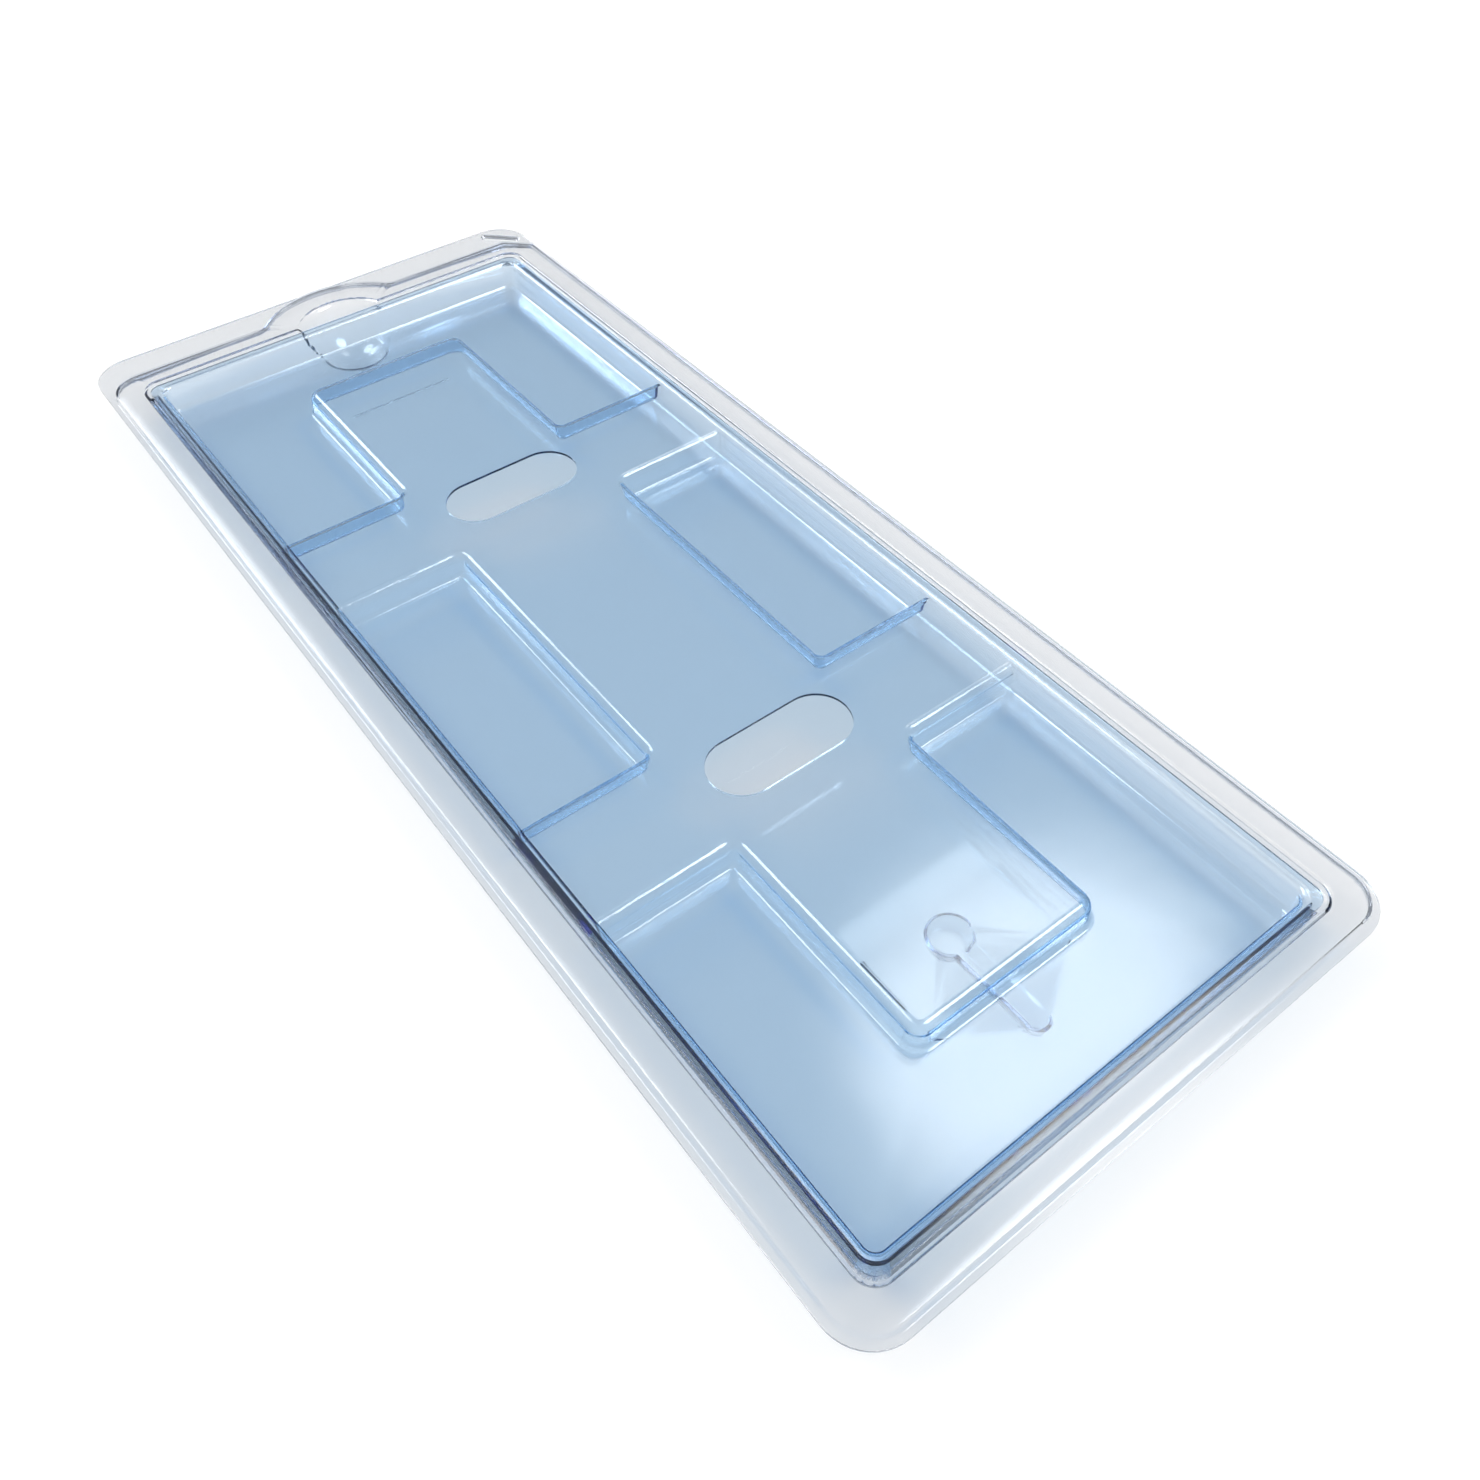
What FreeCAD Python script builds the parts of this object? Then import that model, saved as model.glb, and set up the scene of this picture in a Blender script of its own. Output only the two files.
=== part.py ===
import FreeCAD, Part
import os
from math import acos, atan, cos, degrees, radians, sin, sqrt, tan

# A two-piece thermoformed packaging tray: a clear outer tray, and a blue tinted insert that hangs
# by its rim in the outer tray's ledge.
#
# Frame: X across the tray, +Y towards the end with the finger scoop, +Z up. The origin is the
# centre of the outer tray's cut outline, on the plane that the tray stands on. Millimetres.
#
# Each piece is one formed sheet. It is made as the block under its upper surface, less the block
# under its lower surface, which is the same block with every face moved down by the sheet's
# thickness. The argument drop is that distance: 0 for the upper surface, the sheet for the lower.

# ---- outer tray: outline, sheet and levels -------------------------------------------------
tray_width = 170.0
tray_length = 410.0
tray_corner_radius = 12.5
tray_sheet = 1.0
foot_floor_height = 1.0          # upper surface of the three feet, above the standing plane
tray_floor_height = 6.0          # upper surface of the main floor
ledge_height = 15.6              # upper surface of the ledge that carries the insert
lip_height = 15.2                # upper surface of the low strip along the cut edge
flange_height = 17.2             # upper surface of the sealing flange

# ---- outer tray: flange and its step down to the lip ---------------------------------------
lip_width = 1.8
grip_lip_width = 13.7            # the lip is wide at the scoop end, to hold the lid while peeling
step_inset = 0.5                 # how far the step leans in over its height
step_corner_radius = 11.0
step_top_radius = 0.8
step_foot_radius = 0.5
peel_corner_cut = 8.4            # size of the diagonal across one corner of the flange
peel_corner_radius = 3.0
peel_rib_length = 11.5           # a low rib lies across the lip at that corner
peel_rib_radius = 2.4
peel_rib_rise = 1.2
peel_rib_reach = 5.3             # from the centre of the cut corner's curve to the rib's middle
bulge_base_width = 51.0          # width of the flange's bulge round the scoop, where it starts
bulge_radius = 33.0
bulge_blend_radius = 5.0

# ---- outer tray: ledge, cavity and what is formed into the floor ----------------------------
ledge_clearance = 1.0            # from the insert's cut edge to the wall round the ledge
ledge_corner_radius = 5.0
ledge_top_radius = 1.2
ledge_inner_radius = 0.8
nesting_gap = 0.8                # between the insert's walls and the tray's walls
wall_draft = 4.0
cavity_corner_radius = 4.0
cavity_floor_radius = 3.0
pad_depth = 1.0
pad_width = 43.0
pad_near_y = -160.0
pad_far_y = -127.5
pad_corner_radius = 2.0
pad_draft = 40.0
foot_width = 49.0                # the long foot panel, measured on its flat bottom
foot_near_y = -120.8
foot_far_y = 143.8
foot_corner_radius = 4.0
foot_draft = 55.0
foot_edge_radius = 1.5
well_y = -141.3                  # centre of the keyhole-shaped well's round end
well_radius = 5.7
well_slot_width = 5.2
well_slot_end_y = -172.8
well_draft = 15.0
well_floor_radius = 0.6
scoop_y = 173.4
scoop_radius = 16.2
scoop_flare_radius = 3.6
scoop_flare_slope = 12.0         # slope at which the flare runs out on the flange

# ---- insert: outline, sheet and levels ------------------------------------------------------
insert_width = 145.0
insert_length = 374.0
insert_shift = -6.4              # the insert sits off centre, away from the scoop end
insert_corner_radius = 4.0
insert_sheet = 0.8
insert_rim = 1.6                 # flat rim outside the rounded edge of the wall
insert_rim_radius = 2.2
insert_wall_corner_radius = 3.0
deck_drop = 1.2                  # from the top of the rim to the top of the deck
pocket_depth = 7.6               # from the top of the deck to the pocket floors
pocket_floor_radius = 1.5

# ---- insert: the raised deck between the pockets, a spine with two cross arms ----------------
deck_draft = 5.0
spine_width = 58.6
spine_near_y = -160.0
spine_far_y = 148.3
arm_width = 36.9
near_arm_y = -74.9
far_arm_y = 60.7
deck_corner_radius = 4.0
deck_inner_radius = 2.0
deck_edge_radius = 3.0
finger_hole_length = 45.0
finger_hole_width = 19.6

# ---- values that follow ---------------------------------------------------------------------
block_base = -10.0               # the blocks reach down past the standing plane
overshoot = 5.0                  # how far a cutting shape runs past the face that it opens
bite = 1.0                       # how far shapes that are joined or cut sink into each other
least_fillet = 0.15              # a smaller fillet is left out
pick_slack = 0.4                 # slack when edges are picked by where they lie
same_level = 1e-4                # heights closer than this are one level
rim_height = ledge_height + insert_sheet
deck_height = rim_height - deck_drop
pocket_floor_height = deck_height - pocket_depth
insert_near_y = insert_shift - insert_length / 2
insert_far_y = insert_shift + insert_length / 2
insert_setback = insert_rim + insert_rim_radius      # cut edge to the wall's sharp top edge
pad_floor_height = tray_floor_height - pad_depth


def rectangle_points(x0, x1, y0, y1):
    """Corners of a rectangle, anticlockwise."""
    return [(x0, y0), (x1, y0), (x1, y1), (x0, y1)]


def cross(a, b):
    return a.x * b.y - a.y * b.x


def rounded_outline(points, radii, grow, z):
    """Closed wire at height z: an anticlockwise polygon with rounded corners, grown outwards.

    The radii belong to the outline before it grows. Outer corners gain what the outline grows by
    and inner corners lose it, so outlines that differ only in grow are parallel curves. A corner
    with a radius of 0 stays sharp.
    """
    count = len(points)
    corners = [FreeCAD.Vector(x, y, 0) for x, y in points]
    directions = [(corners[(i + 1) % count] - corners[i]).normalize() for i in range(count)]
    outward = [FreeCAD.Vector(d.y, -d.x, 0) for d in directions]
    starts, ends, middles = [], [], []
    for i in range(count):
        before, after = directions[i - 1], directions[i]
        turn = cross(before, after)
        half_angle = acos(max(-1.0, min(1.0, before.dot(after)))) / 2
        bisector = (outward[i - 1] + outward[i]).normalize()
        corner = corners[i] + bisector * (grow / cos(half_angle))
        radius = radii[i] + (grow if turn > 0 else -grow) if radii[i] else 0.0
        reach = radius * tan(half_angle)
        inward = -1 if turn > 0 else 1
        starts.append(corner - before * reach)
        ends.append(corner + after * reach)
        middles.append(corner + bisector * (inward * radius * (1 / cos(half_angle) - 1)))
    lift = FreeCAD.Vector(0, 0, z)
    edges = []
    for i in range(count):
        if radii[i]:
            edges.append(Part.Arc(starts[i] + lift, middles[i] + lift, ends[i] + lift).toShape())
        start, end = ends[i] + lift, starts[(i + 1) % count] + lift
        if (end - start).Length > same_level:
            edges.append(Part.LineSegment(start, end).toShape())
    return Part.Wire(edges)


def prism(points, radii, grow, bottom, top):
    """Straight prism of a rounded outline."""
    face = Part.Face(rounded_outline(points, radii, grow, bottom))
    return face.extrude(FreeCAD.Vector(0, 0, top - bottom))


def tapered(points, radii, level, draft, bottom, top, drop=0.0, narrows="down"):
    """Prism with drafted walls; the outline is the given one at the height called level.

    narrows is "down" for a hollow and "up" for a raised form. A hollow grows by drop and a raised
    form shrinks by it, so that the wall between the two surfaces keeps the sheet's thickness.
    """
    slope = tan(radians(draft)) * (1 if narrows == "down" else -1)
    moved = drop / cos(radians(draft)) * (1 if narrows == "down" else -1)
    wires = []
    for z in (bottom, top):
        wires.append(rounded_outline(points, radii, (z - level) * slope + moved, z))
    return Part.makeLoft(wires, True, True)


def edges_at(shape, z, within=None, margin=0.0):
    """Edges in the plane at height z, and inside the rectangle of points if one is given."""
    found = []
    for edge in shape.Edges:
        box = edge.BoundBox
        level = abs(box.ZMin - z) < same_level and abs(box.ZMax - z) < same_level
        if level and (within is None or box_inside(box, within, margin)):
            found.append(edge)
    return found


def box_inside(box, points, margin):
    """True where a bounding box lies inside a rectangle of points, made larger by margin."""
    xs = [x for x, y in points]
    ys = [y for x, y in points]
    return (box.XMin > min(xs) - margin and box.XMax < max(xs) + margin
            and box.YMin > min(ys) - margin and box.YMax < max(ys) + margin)


def rounded(shape, edges, radius):
    """Fillet, left out where the radius is too small to form."""
    if radius < least_fillet or not edges:
        return shape
    return shape.makeFillet(radius, edges)


# ---- outer tray -----------------------------------------------------------------------------

def step_outline():
    """Foot of the step round the flange: corners and radii, anticlockwise from the near left."""
    half = tray_width / 2 - lip_width
    near = -tray_length / 2 + lip_width
    far = tray_length / 2 - grip_lip_width
    bulge = bulge_base_width / 2
    points = [
        (-half, near), (half, near),
        (half, far - peel_corner_cut), (half - peel_corner_cut, far),
        (bulge, far), (0, far + bulge), (-bulge, far),
        (-half, far),
    ]
    radii = [
        step_corner_radius, step_corner_radius,
        peel_corner_radius, peel_corner_radius,
        bulge_blend_radius, bulge_radius, bulge_blend_radius,
        step_corner_radius,
    ]
    return points, radii


def ledge_points():
    """Wall round the ledge, at the ledge."""
    half = insert_width / 2 + ledge_clearance
    return rectangle_points(-half, half, insert_near_y - ledge_clearance, insert_far_y + ledge_clearance)


def cavity_points():
    """Top of the tray's cavity wall, which clears the insert's wall by the nesting gap."""
    inset = insert_setback - insert_sheet - nesting_gap
    half = insert_width / 2 - inset
    return rectangle_points(-half, half, insert_near_y + inset, insert_far_y - inset)


def flange_block(drop):
    """Block under the lip and the raised flange."""
    half = tray_width / 2
    edge = rectangle_points(-half, half, -tray_length / 2, tray_length / 2)
    lip = prism(edge, [tray_corner_radius] * 4, 0, block_base, lip_height - drop)
    points, radii = step_outline()
    lean = degrees(atan(step_inset / (flange_height - lip_height)))
    raised = tapered(points, radii, lip_height, lean, lip_height - drop - bite,
                     flange_height - drop, drop, narrows="up")
    block = lip.fuse(raised).removeSplitter()
    block = rounded(block, edges_at(block, flange_height - drop), step_top_radius - drop)
    foot = edges_at(block, lip_height - drop, edge, -pick_slack)
    return rounded(block, foot, step_foot_radius + drop)


def ledge_hollow(drop):
    corner = [ledge_corner_radius] * 4
    return tapered(ledge_points(), corner, ledge_height, wall_draft, ledge_height - drop,
                   flange_height + overshoot, drop)


def cavity_hollow(drop):
    corner = [cavity_corner_radius] * 4
    bottom = tray_floor_height - drop
    hollow = tapered(cavity_points(), corner, ledge_height, wall_draft, bottom,
                     ledge_height + bite, drop)
    return rounded(hollow, edges_at(hollow, bottom), cavity_floor_radius + drop)


def pad_hollow(drop):
    """Shallow rectangle in the floor round the keyhole well."""
    half = pad_width / 2
    points = rectangle_points(-half, half, pad_near_y, pad_far_y)
    return tapered(points, [pad_corner_radius] * 4, pad_floor_height, pad_draft,
                   pad_floor_height - drop, tray_floor_height + bite, drop)


def foot_hollow(drop):
    """Long panel with gentle sides that drops to the standing plane."""
    half = foot_width / 2
    points = rectangle_points(-half, half, foot_near_y, foot_far_y)
    bottom = foot_floor_height - drop
    hollow = tapered(points, [foot_corner_radius] * 4, foot_floor_height, foot_draft,
                     bottom, tray_floor_height + bite, drop)
    return rounded(hollow, edges_at(hollow, bottom), foot_edge_radius + drop)


def well_hollow(drop):
    """Keyhole-shaped well: a drafted round end with a drafted slot towards the near end."""
    slope = tan(radians(well_draft))
    moved = drop / cos(radians(well_draft))
    bottom = foot_floor_height - drop
    top = tray_floor_height + bite
    low = well_radius + (bottom - pad_floor_height) * slope + moved
    high = well_radius + (top - pad_floor_height) * slope + moved
    centre = FreeCAD.Vector(0, well_y, bottom)
    round_end = Part.makeCone(low, high, top - bottom, centre, FreeCAD.Vector(0, 0, 1))
    half = well_slot_width / 2
    slot_points = rectangle_points(-half, half, well_slot_end_y, well_y)
    slot = tapered(slot_points, [half] * 4, pad_floor_height, well_draft, bottom, top, drop)
    well = round_end.fuse(slot).removeSplitter()
    return rounded(well, edges_at(well, bottom), well_floor_radius + drop)


def scoop_hollow(drop):
    """Round finger scoop: a bowl whose rim flares out on the flange, turned about its axis."""
    bowl = scoop_radius + drop
    flare = scoop_flare_radius - drop
    run_out = radians(scoop_flare_slope)
    flare_z = flange_height - scoop_flare_radius * cos(run_out)
    flare_x = sqrt((scoop_radius + scoop_flare_radius) ** 2 - (flange_height - flare_z) ** 2)
    joined = FreeCAD.Vector(flare_x, 0, flare_z - flange_height).normalize() * bowl
    bottom = FreeCAD.Vector(0, 0, -bowl)
    bowl_middle = (joined + bottom).normalize() * bowl
    flare_centre = FreeCAD.Vector(flare_x, 0, flare_z - flange_height)
    toward_bowl = (joined - flare_centre).normalize()
    outer = FreeCAD.Vector(sin(run_out), 0, cos(run_out))
    flare_end = flare_centre + FreeCAD.Vector(-outer.x, 0, outer.z) * flare
    flare_middle = flare_centre + (toward_bowl + FreeCAD.Vector(-outer.x, 0, outer.z)).normalize() * flare
    top = FreeCAD.Vector(flare_end.x, 0, overshoot)
    axis_top = FreeCAD.Vector(0, 0, overshoot)
    profile = Part.Wire([
        Part.Arc(bottom, bowl_middle, joined).toShape(),
        Part.Arc(joined, flare_middle, flare_end).toShape(),
        Part.LineSegment(flare_end, top).toShape(),
        Part.LineSegment(top, axis_top).toShape(),
        Part.LineSegment(axis_top, bottom).toShape(),
    ])
    hollow = Part.Face(profile).revolve(FreeCAD.Vector(0, 0, 0), FreeCAD.Vector(0, 0, 1), 360)
    hollow.translate(FreeCAD.Vector(0, scoop_y, flange_height))
    return hollow


def peel_rib(drop):
    """Raised rib across the cut-off corner, a bar with round ends."""
    along = FreeCAD.Vector(-1, 1, 0).normalize()
    away = FreeCAD.Vector(1, 1, 0).normalize()
    axis_height = lip_height + peel_rib_rise - peel_rib_radius
    curve_centre = FreeCAD.Vector(tray_width / 2 - tray_corner_radius,
                                  tray_length / 2 - tray_corner_radius, axis_height)
    middle = curve_centre + away * peel_rib_reach
    radius = peel_rib_radius - drop
    start = middle - along * (peel_rib_length / 2)
    end = middle + along * (peel_rib_length / 2)
    bar = Part.makeCylinder(radius, peel_rib_length, start, along)
    return bar.fuse([Part.makeSphere(radius, start), Part.makeSphere(radius, end)])


def tray_block(drop):
    """Block under the outer tray's surface, moved in by drop."""
    block = flange_block(drop)
    block = block.cut(ledge_hollow(drop)).removeSplitter()
    ledge_rim = edges_at(block, flange_height - drop, ledge_points(), pick_slack + drop)
    block = rounded(block, ledge_rim, ledge_top_radius - drop)
    block = block.cut(cavity_hollow(drop)).removeSplitter()
    cavity_rim = edges_at(block, ledge_height - drop, cavity_points(), pick_slack + drop)
    block = rounded(block, cavity_rim, ledge_inner_radius - drop)
    block = block.fuse(peel_rib(drop))
    for hollow in (pad_hollow(drop), foot_hollow(drop), well_hollow(drop), scoop_hollow(drop)):
        block = block.cut(hollow)
    return block.removeSplitter()


def outer_tray():
    return tray_block(0.0).cut(tray_block(tray_sheet))


# ---- insert ---------------------------------------------------------------------------------

def deck_outline():
    """Top of the spine and its two cross arms: corners and radii, anticlockwise.

    The arms run on past the cut edge, and are trimmed in deck().
    """
    half = spine_width / 2
    arm_end = insert_width / 2 + overshoot
    near_arm = (near_arm_y - arm_width / 2, near_arm_y + arm_width / 2)
    far_arm = (far_arm_y - arm_width / 2, far_arm_y + arm_width / 2)
    right = [(half, spine_near_y)]
    radii = [deck_corner_radius]
    for low, high in (near_arm, far_arm):
        right += [(half, low), (arm_end, low), (arm_end, high), (half, high)]
        radii += [deck_inner_radius, 0, 0, deck_inner_radius]
    right.append((half, spine_far_y))
    radii.append(deck_corner_radius)
    left = [(-x, y) for x, y in reversed(right)]
    return right + left, radii + radii[::-1]


def deck(drop):
    """Raised deck between the pockets, with rounded upper edges."""
    points, radii = deck_outline()
    top = deck_height - drop
    form = tapered(points, radii, deck_height, deck_draft, pocket_floor_height - drop - bite,
                   top, drop, narrows="up")
    form = rounded(form, edges_at(form, top), deck_edge_radius - drop)
    trimmed_half = insert_width / 2 - insert_rim
    room = rectangle_points(-trimmed_half, trimmed_half, insert_near_y, insert_far_y)
    return form.common(prism(room, [0] * 4, 0, block_base, rim_height))


def insert_wall_points():
    """Sharp top edge of the insert's wall."""
    half = insert_width / 2 - insert_setback
    return rectangle_points(-half, half, insert_near_y + insert_setback, insert_far_y - insert_setback)


def insert_block(drop):
    """Block under the insert's surface, moved in by drop."""
    half = insert_width / 2
    edge = rectangle_points(-half, half, insert_near_y, insert_far_y)
    top = rim_height - drop
    floor = pocket_floor_height - drop
    block = prism(edge, [insert_corner_radius] * 4, 0, block_base, top)
    hollow = tapered(insert_wall_points(), [insert_wall_corner_radius] * 4, rim_height, wall_draft,
                     floor, rim_height + overshoot, drop)
    block = block.cut(hollow)
    rim = edges_at(block, top, insert_wall_points(), pick_slack + drop)
    block = rounded(block, rim, insert_rim_radius - drop)
    block = block.fuse(deck(drop)).removeSplitter()
    return rounded(block, edges_at(block, floor), pocket_floor_radius + drop)


def finger_holes():
    """The two long holes through the deck, one in the middle of each arm."""
    half_length, half_width = finger_hole_length / 2, finger_hole_width / 2
    holes = []
    for y in (near_arm_y, far_arm_y):
        points = rectangle_points(-half_length, half_length, y - half_width, y + half_width)
        holes.append(prism(points, [half_width] * 4, 0, pocket_floor_height, rim_height))
    return holes


def insert_tray():
    sheet = insert_block(0.0).cut(insert_block(insert_sheet))
    return sheet.cut(finger_holes())


# ---- output ---------------------------------------------------------------------------------

pieces = {"outer_tray": outer_tray, "insert_tray": insert_tray}
os.makedirs("parts", exist_ok=True)
for name, make in pieces.items():
    shape = make()
    solids = shape.Solids
    print(name, "solids", len(solids), "valid", shape.isValid(), "volume mm3", round(shape.Volume, 1))
    solid = solids[0] if len(solids) == 1 else shape
    solid.exportStep("parts/" + name + ".step")
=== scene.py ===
# %% [markdown]
# # A clear formed tray with a blue insert
#
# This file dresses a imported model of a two-piece plastic tray: a clear outer tray with a wide
# flange, and a light blue insert that hangs in it by its rim. Both are thin sheets, formed hot
# over a mould and cut out, so all that the eye sees is what light does in thin clear plastic.
#
# The shapes are nearly ready. The work here is one patch in the outer tray's floor, two
# plastics, a pale floor, soft light and a camera.

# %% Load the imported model
from math import cos, radians, sin

import bmesh
import bpy
from mathutils import Matrix, Vector


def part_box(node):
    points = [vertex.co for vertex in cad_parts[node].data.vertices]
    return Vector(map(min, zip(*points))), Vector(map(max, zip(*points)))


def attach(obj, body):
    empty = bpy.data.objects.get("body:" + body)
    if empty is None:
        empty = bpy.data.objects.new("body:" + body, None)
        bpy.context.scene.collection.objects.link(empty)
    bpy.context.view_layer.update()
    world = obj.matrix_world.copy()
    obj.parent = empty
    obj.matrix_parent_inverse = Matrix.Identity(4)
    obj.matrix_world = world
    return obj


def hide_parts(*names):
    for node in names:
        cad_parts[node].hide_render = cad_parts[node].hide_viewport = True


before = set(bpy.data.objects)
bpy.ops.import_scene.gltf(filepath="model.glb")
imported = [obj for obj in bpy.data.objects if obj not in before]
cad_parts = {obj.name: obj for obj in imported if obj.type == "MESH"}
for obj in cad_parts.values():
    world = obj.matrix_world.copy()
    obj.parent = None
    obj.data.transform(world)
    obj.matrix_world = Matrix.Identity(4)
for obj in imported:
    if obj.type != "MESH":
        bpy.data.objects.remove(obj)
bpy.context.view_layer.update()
tray_low, tray_high = [Vector(corner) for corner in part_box("outer_tray")]
insert_low, insert_high = [Vector(corner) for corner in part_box("insert_tray")]
print("tray from", tuple(tray_low), "to", tuple(tray_high))
print("insert from", tuple(insert_low), "to", tuple(insert_high))

# %% [markdown]
# ## The long panel in the tray's floor
#
# Under the insert's deck the tray's floor has a long shallow panel, which stiffens it. It is
# less than half a millimetre deep. At its near end a gentle slope leads down to a pad round the
# keyhole-shaped well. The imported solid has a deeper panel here, so this part of its floor is cut
# out as a window and a new patch is set in.
#
# The patch could be cut with solids like a machined part. Rows of points from the near end to
# the far end are simpler: each row is a section across the panel, and the corners at the far
# end come from rows that follow an arc. Every row is made twice, for the sheet's upper face and
# for its lower face, so the sheet keeps its thickness in the folds.

# %% The patch
floor_top, sheet = 0.006, 0.001
pad_depth, panel_depth = 0.001, 0.00045
panel_half, panel_end, panel_corner = 0.02234, 0.1376, 0.004
side_run = 0.839                 # how far the sides lean out for each unit of depth
slope_foot, slope_head = -0.1266, -0.1229
window_half, window_near, window_far = 0.033, -0.134, 0.153
side_fold, slope_fold = 0.466, 0.074     # how far a fold moves on the sheet's other face
corner_steps = 8
same_point = 1e-6                # points closer than this are joined
sharp_angle = radians(30)        # folds steeper than this stay sharp in the shading


def section(edge_y, top_half, top_y, floor_half, floor_y, depth, level):
    """Six points across the tray: main floor, panel's side, panel's floor, and back up."""
    right = [(floor_half, floor_y, level - depth), (top_half, top_y, level),
             (window_half, edge_y, level)]
    return [(-x, y, z) for x, y, z in reversed(right)] + right


def sheet_face(drop):
    """Rows of the sheet's upper face, or of its lower face where drop is its thickness."""
    half, corner = panel_half + side_fold * drop, panel_corner + side_fold * drop
    level = floor_top - drop
    rows = []
    for y, depth in ((window_near, pad_depth), (slope_foot + slope_fold * drop, pad_depth),
                     (slope_head + slope_fold * drop, panel_depth)):
        rows.append(section(y, half, y, half - side_run * depth, y, depth, level))
    centre_y = panel_end - panel_corner
    inner = corner - side_run * panel_depth
    for step in range(corner_steps + 1):
        turn = radians(90 * step / corner_steps)
        top_y, floor_y = centre_y + corner * sin(turn), centre_y + inner * sin(turn)
        rows.append(section(top_y, half - corner + corner * cos(turn), top_y,
                            half - corner + inner * cos(turn), floor_y, panel_depth, level))
    for y in (centre_y + corner, window_far):
        rows.append(section(y, half - corner, y, half - corner, y, 0.0, level))
    return rows


def floor_patch():
    """Closed mesh between the sheet's two faces."""
    shape = bmesh.new()
    grids = []
    for drop in (0.0, sheet):
        grids.append([[shape.verts.new(point) for point in row] for row in sheet_face(drop)])
    upper, lower = grids
    last_row, last = len(upper) - 1, len(upper[0]) - 1
    for i in range(last_row):
        for j in range(last):
            shape.faces.new((upper[i][j], upper[i][j + 1], upper[i + 1][j + 1], upper[i + 1][j]))
            shape.faces.new((lower[i][j], lower[i + 1][j], lower[i + 1][j + 1], lower[i][j + 1]))
        for j, order in ((0, 1), (last, -1)):
            ring = (upper[i][j], upper[i + 1][j], lower[i + 1][j], lower[i][j])
            shape.faces.new(ring[::order])
    for i, order in ((0, -1), (last_row, 1)):
        for j in range(last):
            ring = (upper[i][j], upper[i][j + 1], lower[i][j + 1], lower[i][j])
            shape.faces.new(ring[::order])
    bmesh.ops.remove_doubles(shape, verts=shape.verts[:], dist=same_point)
    bmesh.ops.recalc_face_normals(shape, faces=shape.faces[:])
    mesh = bpy.data.meshes.new("floor patch")
    shape.to_mesh(mesh)
    shape.free()
    return bpy.data.objects.new("floor patch", mesh)


def window_block():
    """Block that cuts the window through the floor's sheet."""
    mesh = bpy.data.meshes.new("window")
    shape = bmesh.new()
    bmesh.ops.create_cube(shape, size=1.0)
    low = Vector((-window_half, window_near, -sheet))
    high = Vector((window_half, window_far, floor_top + 2 * sheet))
    for vert in shape.verts:
        vert.co = [low[k] if vert.co[k] < 0 else high[k] for k in range(3)]
    shape.to_mesh(mesh)
    shape.free()
    return bpy.data.objects.new("window", mesh)


def mesh_with(piece, changes):
    """The piece's mesh after Boolean changes, each an operation and the other object."""
    work = bpy.data.objects.new("work", piece.data.copy())
    work.matrix_world = piece.matrix_world.copy()
    linked = [work] + [other for operation, other in changes]
    for thing in linked:
        bpy.context.scene.collection.objects.link(thing)
    for operation, other in changes:
        modifier = work.modifiers.new(operation, "BOOLEAN")
        modifier.operation = operation
        modifier.solver = "EXACT"
        modifier.object = other
    bpy.context.view_layer.update()
    changed = work.evaluated_get(bpy.context.evaluated_depsgraph_get())
    mesh = bpy.data.meshes.new_from_object(changed)
    for thing in linked:
        bpy.data.objects.remove(thing)
    return mesh


cad_tray = bpy.data.objects["outer_tray"]
tray_mesh = mesh_with(cad_tray, [("DIFFERENCE", window_block()), ("UNION", floor_patch())])
clear_tray = bpy.data.objects.new("clear_outer_tray", tray_mesh)
bpy.context.scene.collection.objects.link(clear_tray)
clear_tray.matrix_world = cad_tray.matrix_world.copy()
tray_mesh.shade_smooth()
tray_mesh.set_sharp_from_angle(angle=sharp_angle)
evened = clear_tray.modifiers.new("flat faces stay flat", "WEIGHTED_NORMAL")
evened.keep_sharp = True
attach(clear_tray, "root")
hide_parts("outer_tray")
check = bmesh.new()
check.from_mesh(tray_mesh)
print("outer tray with the shallow panel:", len(tray_mesh.polygons), "faces,",
      sum(1 for edge in check.edges if not edge.is_manifold), "open edges, volume",
      round(check.calc_volume() * 1e9, 1), "cubic mm")
check.free()

# %% [markdown]
# ## A hair's gap under the insert
#
# The insert's rim and the tray's ledge are both flat where they meet, and no ray can tell which
# of two touching faces it is in. Real sheets touch only at high spots. The insert is lifted by
# a few hundredths of a millimetre, by a modifier, so that air lies between them.

# %% Lift
hairs_gap = 0.00004
lift = bpy.data.objects["insert_tray"].modifiers.new("hair's gap", "DISPLACE")
lift.direction = "Z"
lift.mid_level = 0.0
lift.strength = hairs_gap
print("insert lifted by", round(hairs_gap * 1000, 3), "mm")

# %% [markdown]
# ## The plastic
#
# Clear sheet could be made with a see-through colour, but then a wall seen along its length
# looks no darker than one seen square on. Real sheet swallows a little light for each
# millimetre that light travels in it. That is what turns its cut edges and its steep walls
# dark. So the surface is plain glass, and a Volume Absorption shader inside it takes the colour
# out with distance.
#
# Glass stops the rays that lamps send to the floor. A thin sheet hardly bends them, so rays for
# shadows and for soft bounced light pass through a tinted Transparent shader instead.
#
# Neither sheet is perfectly even. Hot plastic stretches over the mould, which leaves slow waves
# in its gloss, and stacking and handling leave a fine dusting of marks. One group makes both.

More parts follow.
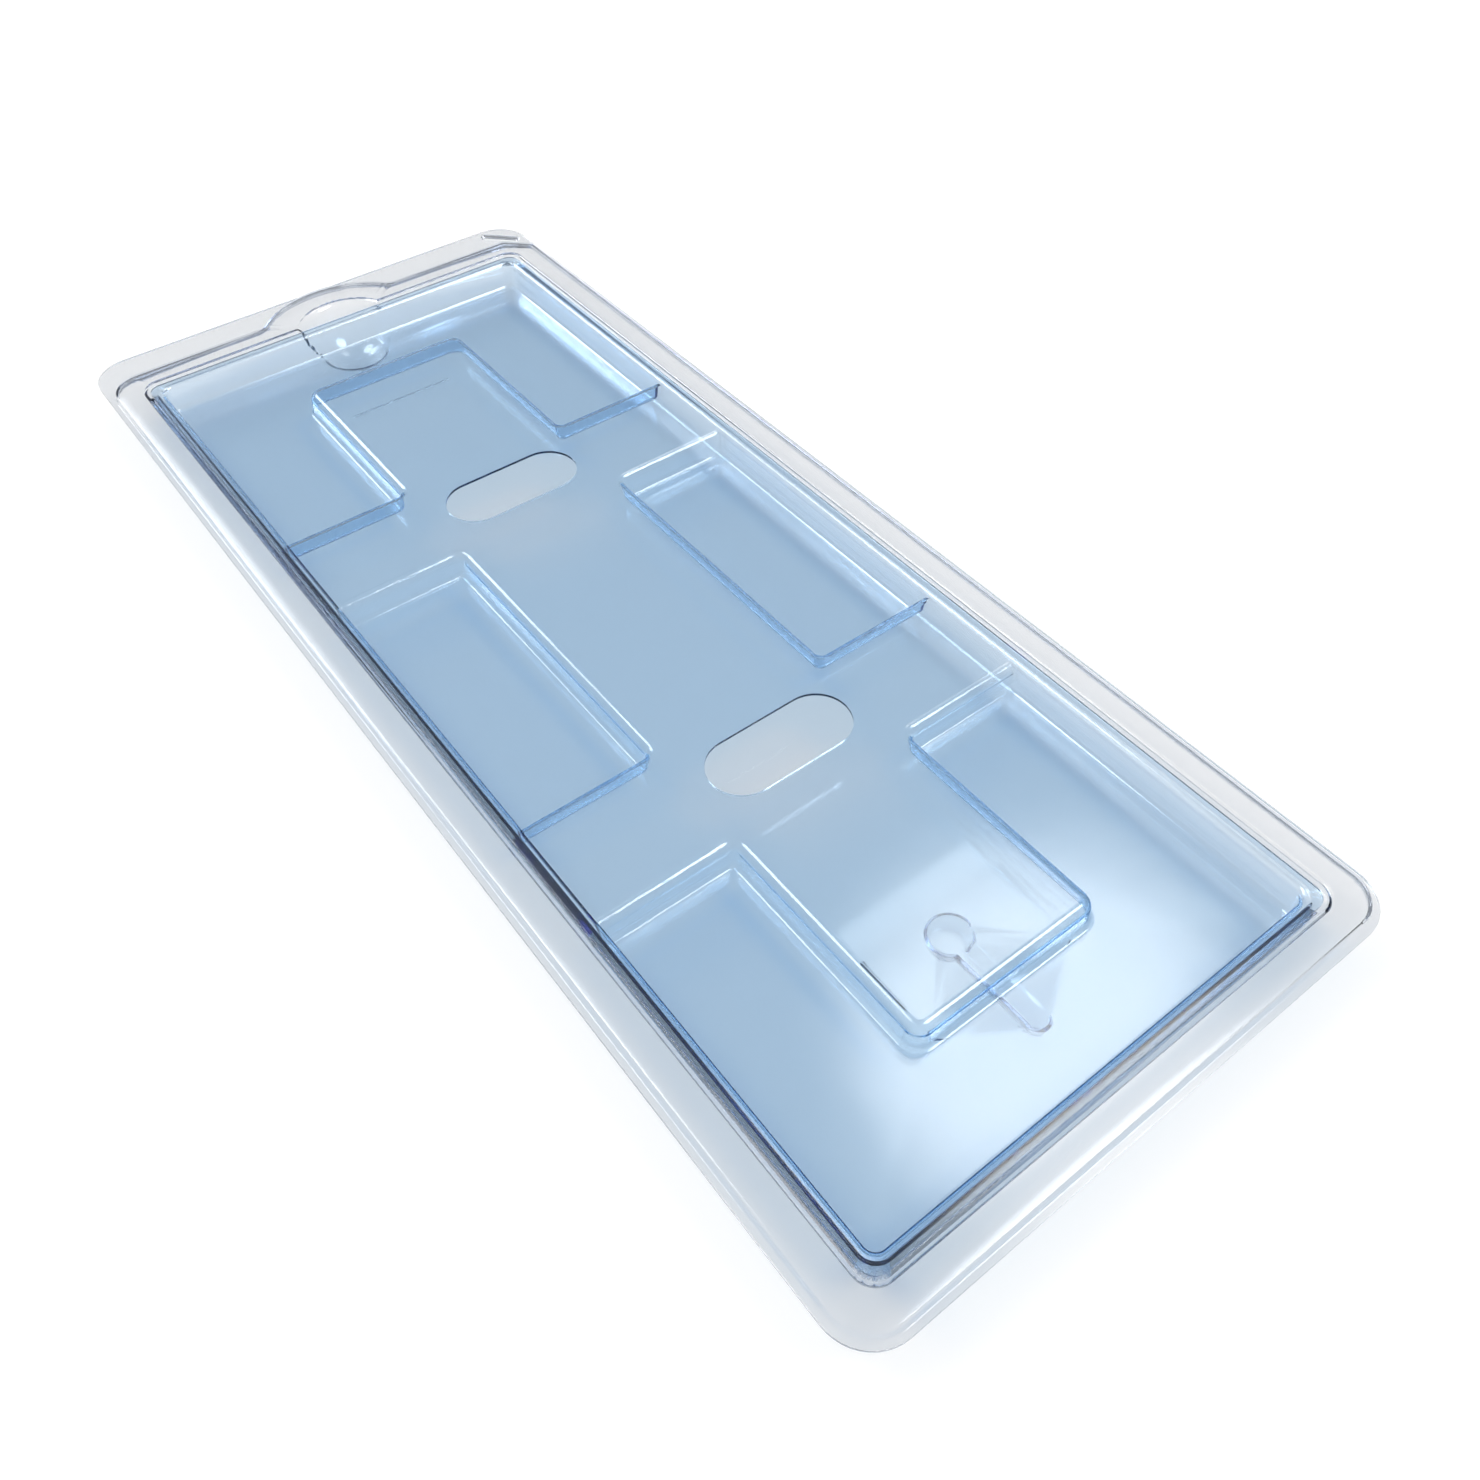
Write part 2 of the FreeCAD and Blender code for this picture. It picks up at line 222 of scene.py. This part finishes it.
# %% A group for the unevenness that every formed sheet has
def formed_sheet_group():
    """Node group: slow waves where the sheet stretched, and a fine dusting of marks."""
    group = bpy.data.node_groups.new("formed sheet", "ShaderNodeTree")
    for name, value in (("Wave size", 30.0), ("Mark size", 900.0), ("Roughness low", 0.03),
                        ("Roughness high", 0.12)):
        socket = group.interface.new_socket(name, in_out="INPUT", socket_type="NodeSocketFloat")
        socket.default_value = value
    for name in ("Roughness", "Height"):
        group.interface.new_socket(name, in_out="OUTPUT", socket_type="NodeSocketFloat")
    nodes, links = group.nodes, group.links
    given, result = nodes.new("NodeGroupInput"), nodes.new("NodeGroupOutput")
    place = nodes.new("ShaderNodeTexCoord")
    waves = nodes.new("ShaderNodeTexNoise")
    waves.inputs["Detail"].default_value = 2.0
    marks = nodes.new("ShaderNodeTexNoise")
    marks.inputs["Detail"].default_value = 3.0
    for texture, size in ((waves, "Wave size"), (marks, "Mark size")):
        links.new(place.outputs["Object"], texture.inputs["Vector"])
        links.new(given.outputs[size], texture.inputs["Scale"])
    spread = nodes.new("ShaderNodeMapRange")
    links.new(marks.outputs["Fac"], spread.inputs["Value"])
    links.new(given.outputs["Roughness low"], spread.inputs["To Min"])
    links.new(given.outputs["Roughness high"], spread.inputs["To Max"])
    links.new(spread.outputs["Result"], result.inputs["Roughness"])
    links.new(waves.outputs["Fac"], result.inputs["Height"])
    return group


formed_sheet = formed_sheet_group()
print("group", formed_sheet.name, "with", len(formed_sheet.nodes), "nodes")

# %% One maker for both plastics
wave_strength, wave_depth = 0.15, 0.0006
plastic_ior = 1.5


def clear_plastic(name, surface_colour, swallowed, density, lamp_tint):
    """Thin clear sheet: glass outside, absorption inside, and see-through for lamps."""
    material = bpy.data.materials.new(name)
    material.use_nodes = True
    nodes, links = material.node_tree.nodes, material.node_tree.links
    nodes.clear()
    output = nodes.new("ShaderNodeOutputMaterial")
    sheet = nodes.new("ShaderNodeBsdfPrincipled")
    sheet.inputs["Base Color"].default_value = (*surface_colour, 1)
    sheet.inputs["Transmission Weight"].default_value = 1.0
    sheet.inputs["IOR"].default_value = plastic_ior
    uneven = nodes.new("ShaderNodeGroup")
    uneven.node_tree = formed_sheet
    links.new(uneven.outputs["Roughness"], sheet.inputs["Roughness"])
    bump = nodes.new("ShaderNodeBump")
    bump.inputs["Strength"].default_value = wave_strength
    bump.inputs["Distance"].default_value = wave_depth
    links.new(uneven.outputs["Height"], bump.inputs["Height"])
    links.new(bump.outputs["Normal"], sheet.inputs["Normal"])
    pass_through = nodes.new("ShaderNodeBsdfTransparent")
    pass_through.inputs["Color"].default_value = (*lamp_tint, 1)
    path = nodes.new("ShaderNodeLightPath")
    either = nodes.new("ShaderNodeMath")
    either.operation = "MAXIMUM"
    links.new(path.outputs["Is Shadow Ray"], either.inputs[0])
    links.new(path.outputs["Is Diffuse Ray"], either.inputs[1])
    choose = nodes.new("ShaderNodeMixShader")
    links.new(either.outputs[0], choose.inputs["Fac"])
    links.new(sheet.outputs["BSDF"], choose.inputs[1])
    links.new(pass_through.outputs["BSDF"], choose.inputs[2])
    links.new(choose.outputs["Shader"], output.inputs["Surface"])
    inside = nodes.new("ShaderNodeVolumeAbsorption")
    inside.inputs["Color"].default_value = (*swallowed, 1)
    inside.inputs["Density"].default_value = density
    links.new(inside.outputs["Volume"], output.inputs["Volume"])
    return material


def dress(name, material):
    """Put a material on a piece in place of its plain one."""
    piece = bpy.data.objects[name]
    piece.data.materials.clear()
    piece.data.materials.append(material)
    print(name, "wears", material.name)


# %% [markdown]
# The outer tray is clear with a trace of grey, and its long paths turn a greyish blue. The
# insert has a light blue dye: it swallows red first and hardly any blue. Each line below gives
# the colour at the surface, the colour that light turns to inside, how fast it turns, and the
# tint of the light that reaches the floor.

# %% The two plastics
clear = clear_plastic("clear sheet", surface_colour=(0.845, 0.855, 0.862),
                      swallowed=(0.15, 0.40, 0.80), density=60.0, lamp_tint=(0.89, 0.90, 0.905))
blue = clear_plastic("blue sheet", surface_colour=(0.94, 0.97, 1.0),
                     swallowed=(0.132, 0.624, 0.976), density=250.0,
                     lamp_tint=(0.97, 0.985, 0.99))
dress("clear_outer_tray", clear)
dress("insert_tray", blue)

# %% [markdown]
# ## Floor
#
# Clear plastic takes its brightness from what lies behind it, so the floor matters as much as
# the light. It is matt and nearly white, and it lies just under the tray so that the two don't
# touch.

# %% Floor
floor_gap, floor_reach = 0.0002, 6.0
floor_colour, floor_roughness = (0.95, 0.95, 0.95), 0.9


def flat_floor(reach):
    mesh = bpy.data.meshes.new("floor")
    mesh.from_pydata([(-reach, -reach, 0), (reach, -reach, 0), (reach, reach, 0),
                      (-reach, reach, 0)], [], [(0, 1, 2, 3)])
    floor = bpy.data.objects.new("floor", mesh)
    bpy.context.scene.collection.objects.link(floor)
    floor.location.z = tray_low.z - floor_gap
    material = bpy.data.materials.new("pale floor")
    material.use_nodes = True
    surface = material.node_tree.nodes["Principled BSDF"]
    surface.inputs["Base Color"].default_value = (*floor_colour, 1)
    surface.inputs["Roughness"].default_value = floor_roughness
    mesh.materials.append(material)
    print("floor", 2 * reach, "m across")


flat_floor(floor_reach)

# %% [markdown]
# ## Light
#
# What the eye reads as shape in clear plastic is the reflection of something bright. Lamps with
# hard edges would leave hard shapes on the flat floor of the tray. Here the sky does all the
# work: an even dim white, and four soft bright patches. The warm one lies where the near end
# mirrors it, as a broad glare. The white ones lie where no flat face mirrors them, so that only
# the rounded folds that face the camera catch them, as thin white lines.
#
# The camera sees a plain white sky instead, and only where it looks past the floor.

# %% Studio sky
def studio_sky(base, lobes):
    """An even white sky with soft-edged bright patches.

    Each lobe is a direction, the angles in degrees at which it is full and at which it has faded
    out, the brightness that it adds, and its colour.
    """
    world = bpy.data.worlds.new("studio sky")
    bpy.context.scene.world = world
    world.use_nodes = True
    nodes, links = world.node_tree.nodes, world.node_tree.links
    total = nodes["Background"]
    total.inputs["Color"].default_value = (1, 1, 1, 1)
    total.inputs["Strength"].default_value = base
    total = total.outputs["Background"]
    direction = nodes.new("ShaderNodeTexCoord").outputs["Generated"]
    for towards, full, faded, brightness, colour in lobes:
        facing = nodes.new("ShaderNodeVectorMath")
        facing.operation = "DOT_PRODUCT"
        links.new(direction, facing.inputs[0])
        facing.inputs[1].default_value = Vector(towards).normalized()
        patch = nodes.new("ShaderNodeMapRange")
        patch.interpolation_type = "SMOOTHERSTEP"
        links.new(facing.outputs["Value"], patch.inputs["Value"])
        patch.inputs["From Min"].default_value = cos(radians(faded))
        patch.inputs["From Max"].default_value = cos(radians(full))
        patch.inputs["To Max"].default_value = brightness
        glow = nodes.new("ShaderNodeBackground")
        glow.inputs["Color"].default_value = (*colour, 1)
        links.new(patch.outputs["Result"], glow.inputs["Strength"])
        both = nodes.new("ShaderNodeAddShader")
        links.new(total, both.inputs[0])
        links.new(glow.outputs["Background"], both.inputs[1])
        total = both.outputs["Shader"]
    plain_white = nodes.new("ShaderNodeBackground")
    plain_white.inputs["Color"].default_value = (1, 1, 1, 1)
    path = nodes.new("ShaderNodeLightPath")
    seen = nodes.new("ShaderNodeMixShader")
    links.new(path.outputs["Is Camera Ray"], seen.inputs["Fac"])
    links.new(total, seen.inputs[1])
    links.new(plain_white.outputs["Background"], seen.inputs[2])
    links.new(seen.outputs["Shader"], nodes["World Output"].inputs["Surface"])
    print("sky of", base, "with", len(lobes), "lobes")


white, warm = (1.0, 1.0, 1.0), (1.0, 0.87, 0.74)
near_end_glare = ((0.45, 0.22, 0.865), 1.0, 10.5, 4.0, warm)
near_folds = ((0.40, -0.35, 0.85), 6.0, 14.0, 12.0, white)
left_folds = ((-0.30, 0.45, 0.84), 6.0, 14.0, 9.0, white)
left_folds_far_off = ((-0.28, 0.75, 0.60), 6.0, 14.0, 8.0, white)
studio_sky(0.34, [near_end_glare, near_folds, left_folds, left_folds_far_off])

# %% [markdown]
# A ray may cross a dozen faces where the rim, the ledge and the wall lie behind each other. With
# too few bounces such rays end in black, so the limits are raised.

# %% Light paths
bounces = bpy.context.scene.cycles
bounces.max_bounces = 32
bounces.transmission_bounces = 32
bounces.glossy_bounces = 12
bounces.transparent_max_bounces = 32
print("up to", bounces.max_bounces, "bounces")

# %% [markdown]
# ## Camera
#
# A wide lens close to the tray: it stands half a hand's breadth past the near left corner, 27 cm
# up, and looks down along the tray towards the scoop.

# %% Camera
camera_data = bpy.data.cameras.new("camera")
camera_data.sensor_width = 36.0
camera_data.lens = 31.29
camera = bpy.data.objects.new("camera", camera_data)
bpy.context.scene.collection.objects.link(camera)
heading, tilt, roll = radians(-37.54), radians(40.376), radians(-0.177)
camera.matrix_world = (Matrix.Translation((-0.14177, -0.24211, 0.27387))
                       @ Matrix.Rotation(heading, 4, "Z") @ Matrix.Rotation(tilt, 4, "X")
                       @ Matrix.Rotation(roll, 4, "Z"))
camera_data.clip_start = 0.01
bpy.context.scene.camera = camera
bpy.context.scene.view_settings.view_transform = "Standard"
print("camera at", tuple(camera.location))
